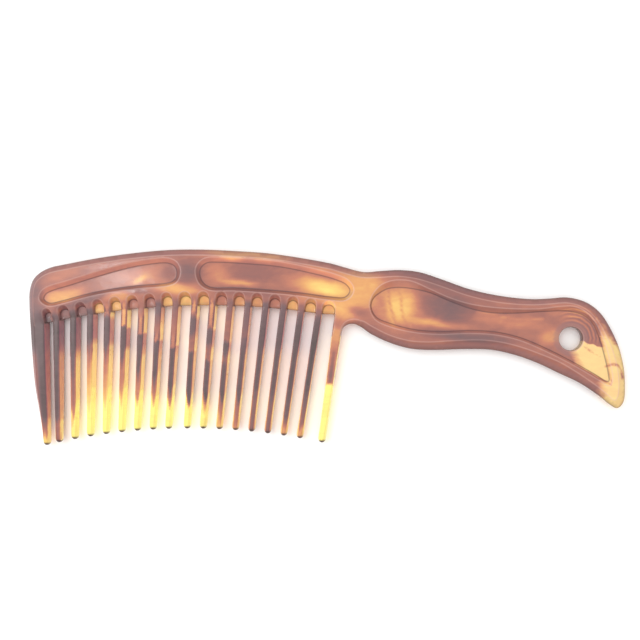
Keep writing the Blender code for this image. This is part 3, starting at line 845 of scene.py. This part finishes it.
class Nodes:
    """Short ways to make and join shader nodes."""

    def __init__(self, tree):
        self.tree = tree

    def add(self, kind, inputs=None, **settings):
        node = self.tree.nodes.new(kind)
        for key, value in settings.items():
            setattr(node, key, value)
        for key, value in (inputs or {}).items():
            if isinstance(value, bpy.types.NodeSocket):
                self.tree.links.new(value, node.inputs[key])
            else:
                node.inputs[key].default_value = value
        return node

    def math(self, operation, a, b=0.0, clamp=False):
        inputs = {0: a, 1: b}
        return self.add("ShaderNodeMath", inputs, operation=operation, use_clamp=clamp).outputs[0]

    def plus(self, a, b):
        return self.math("ADD", a, b)

    def times(self, a, b):
        return self.math("MULTIPLY", a, b)

    def noise(self, vector, scale, detail=2.0, distortion=0.0):
        inputs = {"Vector": vector, "Scale": scale, "Detail": detail, "Distortion": distortion}
        return self.add("ShaderNodeTexNoise", inputs).outputs["Fac"]

    def attribute(self, name):
        return self.add("ShaderNodeAttribute", attribute_name=name).outputs["Fac"]

    def spread(self, value, low, high, to_low, to_high):
        """The value mapped from low..high to to_low..to_high, and held there outside it."""
        inputs = {0: value, 1: low, 2: high, 3: to_low, 4: to_high}
        return self.add("ShaderNodeMapRange", inputs).outputs[0]

    def mix(self, share, first, second):
        inputs = {0: share, 6: first, 7: second}
        return self.add("ShaderNodeMix", inputs, data_type="RGBA").outputs[2]

    def scaled(self, colour, factor):
        inputs = {0: colour, "Scale": factor}
        return self.add("ShaderNodeVectorMath", inputs, operation="SCALE").outputs[0]

    def ramp(self, value, stops):
        node = self.add("ShaderNodeValToRGB", {"Fac": value})
        ramp = node.color_ramp
        while len(ramp.elements) < len(stops):
            ramp.elements.new(1.0)
        for element, (position, colour) in zip(ramp.elements, stops):
            element.position = position
            element.color = colour
        return node.outputs["Color"]


def tortoiseshell():
    material = bpy.data.materials.new("tortoiseshell")
    material.use_nodes = True
    tree = material.node_tree
    tree.nodes.clear()
    n = Nodes(tree)
    place = n.add("ShaderNodeTexCoord").outputs["Object"]
    stretched = n.add("ShaderNodeMapping", {"Vector": place, "Scale": (0.45, 1.0, 1.0)}).outputs[0]
    swirl = n.plus(n.noise(stretched, 260.0, 3.0, 1.2), -0.5)
    fine = n.noise(stretched, 900.0, 2.0, 0.6)
    ripple = n.plus(fine, -0.5)

    # Tone: the clouds, the rings round the hole, the clear tail, and swirls at two sizes
    hole = (HOLE_X * MM, HOLE_Y * MM, MIDDLE_Z * MM)
    apart = n.add("ShaderNodeVectorMath", {0: place, 1: hole}, operation="DISTANCE")
    turns = n.times(apart.outputs["Value"], 2 * math.pi / (RING_STEP * MM))
    wave = n.math("SINE", n.plus(turns, n.times(swirl, 6.0)))
    tone = n.plus(n.attribute("tone"), n.times(n.times(wave, 0.1), n.attribute("rings")))
    tone = n.plus(tone, n.times(swirl, 0.15))
    clear = n.plus(n.attribute("clear"), n.times(swirl, 0.5))
    clear_share = n.spread(clear, -0.18, 0.18, 0.0, 1.0)
    clear_tone = n.plus(CLEAR_TONE, n.times(swirl, 0.2))
    tone = n.plus(tone, n.times(clear_share, n.math("SUBTRACT", clear_tone, tone)))
    tone = n.plus(tone, n.times(ripple, 0.06))

    # Painted light: steep flanks of the teeth and of the arches round the webs glow as if lit through
    normal = n.add("ShaderNodeNewGeometry").outputs["Normal"]
    _, normal_y, normal_z = n.add("ShaderNodeSeparateXYZ", {0: normal}).outputs
    steep = n.spread(n.math("ABSOLUTE", normal_z), 0.8, 0.3, 0.0, 1.0)
    flank = n.times(steep, n.attribute("see_through"))
    lifted = n.math("MINIMUM", n.plus(tone, n.times(flank, FLANK_LIFT)), FLANK_TONE)
    tone = n.math("MAXIMUM", tone, lifted, clamp=True)
    plain = n.ramp(tone, [(at, plastic(*shown)) for at, shown in TONES])
    glow = n.add("ShaderNodeVectorMath", {0: plain, 1: GLOW_GAIN, 2: GLOW_ADD},
                 operation="MULTIPLY_ADD")
    glow_share = n.times(flank, n.spread(tone, 0.86, 0.94, 1.0, 0.6))
    colour = n.mix(glow_share, plain, glow.outputs[0])
    colour = n.mix(n.times(clear_share, 0.35), colour, plastic(*MILK))

    # Painted light and shade on the back's panel walls: brighter facing the teeth, darker facing away,
    # as if lit through the plastic
    lit = n.math("SUBTRACT", 1.0, n.times(n.attribute("painted_wall_light"), normal_y))
    colour = n.scaled(colour, n.math("MAXIMUM", lit, PANEL_DARKEST))
    # Painted reflection: the long slopes inside the outline are greyed, less so in the clear tail
    painted_slope_reflection = n.times(n.attribute("slope"), n.math("SUBTRACT", 0.5, n.times(clear_share, 0.5)))
    colour = n.mix(painted_slope_reflection, colour, plastic(*SLOPE_REFLECTION_GREY))

    # Painted shade where the relief is hollow and at the outline, painted highlight along its crests
    colour = n.mix(n.times(n.attribute("hollow"), 0.62), colour, plastic(*HOLLOW_SHADE))
    colour = n.mix(n.attribute("rim"), colour, plastic(*RIM_SHADE))
    # Painted highlight along the crests, stronger on lighter tones
    pale = n.times(n.attribute("crest"), n.spread(tone, 0.15, 0.75, 0.16, 0.42))
    colour = n.mix(pale, colour, plastic(*CREST_HIGHLIGHT))
    uneven = {"Height": n.noise(place, 420.0, 3.0), "Strength": 0.12, "Distance": 0.0002}
    shader = n.add("ShaderNodeBsdfPrincipled", {
        "Base Color": colour, "Roughness": n.plus(0.07, n.times(fine, 0.12)), "IOR": 1.5,
        "Normal": n.add("ShaderNodeBump", uneven).outputs[0], "Specular IOR Level": 0.4,
    })

    # Its shadow is tinted by the light that comes through
    tint = n.mix(0.82, SHADOW_TINT, n.scaled(plain, SHADOW_GAIN))
    see_through = n.add("ShaderNodeBsdfTransparent", {"Color": tint})
    path = n.add("ShaderNodeLightPath").outputs["Is Shadow Ray"]
    mix = n.add("ShaderNodeMixShader", {0: path, 1: shader.outputs[0], 2: see_through.outputs[0]})
    n.add("ShaderNodeOutputMaterial", {"Surface": mix.outputs[0]})
    return material


def set_attribute(mesh, name, values):
    mesh.attributes.new(name, "FLOAT", "POINT").data.foreach_set("value", values)


def make_comb():
    material = tortoiseshell()
    for name, mesh in closed_pieces().items():
        places = np.empty(len(mesh.vertices) * 3)
        mesh.vertices.foreach_get("co", places)
        x, y, z = places.reshape(-1, 3).T / MM
        clear, rings = np.full(len(x), NOT_CLEAR), np.zeros(len(x))
        painted_wall_light = np.zeros(len(x))
        if name == "back":
            tone = back_tones(x, y, z)
            slope = np.array([v.value for v in mesh.attributes["slope"].data])
            # Where the painted light and shade on the panels' walls goes: off the slopes, above the
            # roots
            painted_wall_light = (1 - slope) * smoothstep(*PANEL_FADE, y - root_line(x))
        elif name == "handle":
            tone = body_tones(x, y)
            clear, rings = handle_fields(x, y)
        else:
            tone = tooth_tones(name, x, y)
        # Share of the painted glow on each piece's steep flanks
        see_through = {"back": BACK_SEE_THROUGH, "handle": 0.0}.get(name, SMOKY.get(name, 1.0))
        set_attribute(mesh, "tone", tone)
        set_attribute(mesh, "clear", clear)
        set_attribute(mesh, "rings", rings)
        set_attribute(mesh, "see_through", np.full(len(x), see_through))
        set_attribute(mesh, "painted_wall_light", painted_wall_light)
        mesh.materials.append(material)
        piece = bpy.data.objects.new(f"{name}_skin", mesh)
        bpy.context.scene.collection.objects.link(piece)
        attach(piece, "root")
        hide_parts(name)


FLOOR_SIZE = 6.0         # in metres, as are the lights and the camera below
FLOOR_GAP = 0.0002


def make_floor():
    mesh = bpy.data.meshes.new("floor")
    half = FLOOR_SIZE / 2
    corners = [(-half, -half, 0), (half, -half, 0), (half, half, 0), (-half, half, 0)]
    mesh.from_pydata(corners, [], [(0, 1, 2, 3)])
    material = bpy.data.materials.new("floor")
    material.use_nodes = True
    shader = material.node_tree.nodes["Principled BSDF"]
    shader.inputs["Base Color"].default_value = (0.9, 0.9, 0.895, 1.0)
    shader.inputs["Roughness"].default_value = 0.9
    shader.inputs["Specular IOR Level"].default_value = 0.2
    mesh.materials.append(material)
    floor = bpy.data.objects.new("floor", mesh)
    bpy.context.scene.collection.objects.link(floor)
    floor.location.z = cad_box[0][2] - FLOOR_GAP


def make_lights():
    world = bpy.data.worlds.new("studio")
    bpy.context.scene.world = world
    world.use_nodes = True
    background = world.node_tree.nodes["Background"]
    background.inputs["Color"].default_value = (1.0, 0.99, 0.985, 1.0)
    background.inputs["Strength"].default_value = 0.8
    lamps = (
        ("key", (-0.75, 0.6, 0.95), (1.3, 1.3), 0, 8.0),
        ("top", (-0.1, 0.1, 1.3), (1.8, 1.8), 0, 8.7),
        ("strip", (-0.449, 0.086, 1.0), (0.12, 0.02), -39, 0.2),
    )
    for name, place, (length, width), turn, power in lamps:
        light = bpy.data.lights.new(name, "AREA")
        light.shape = "RECTANGLE"
        light.size = length
        light.size_y = width
        light.energy = power
        lamp = bpy.data.objects.new(name, light)
        lamp.location = place
        if name == "strip":
            lamp.rotation_euler = (0, 0, math.radians(turn))
        else:
            lamp.rotation_euler = (-Vector(place)).to_track_quat("-Z", "Y").to_euler()
        bpy.context.scene.collection.objects.link(lamp)


def make_camera():
    camera = bpy.data.cameras.new("camera")
    camera.sensor_width = 36.0
    camera.lens = 36.97
    camera.shift_x = -0.083
    camera.clip_start = 0.01
    view = bpy.data.objects.new("camera", camera)
    view.location = (0.01616, 0.00961, 0.2345)
    bpy.context.scene.collection.objects.link(view)
    bpy.context.scene.camera = view


bpy.context.scene.view_settings.view_transform = "Standard"
make_comb()
make_floor()
make_lights()
make_camera()
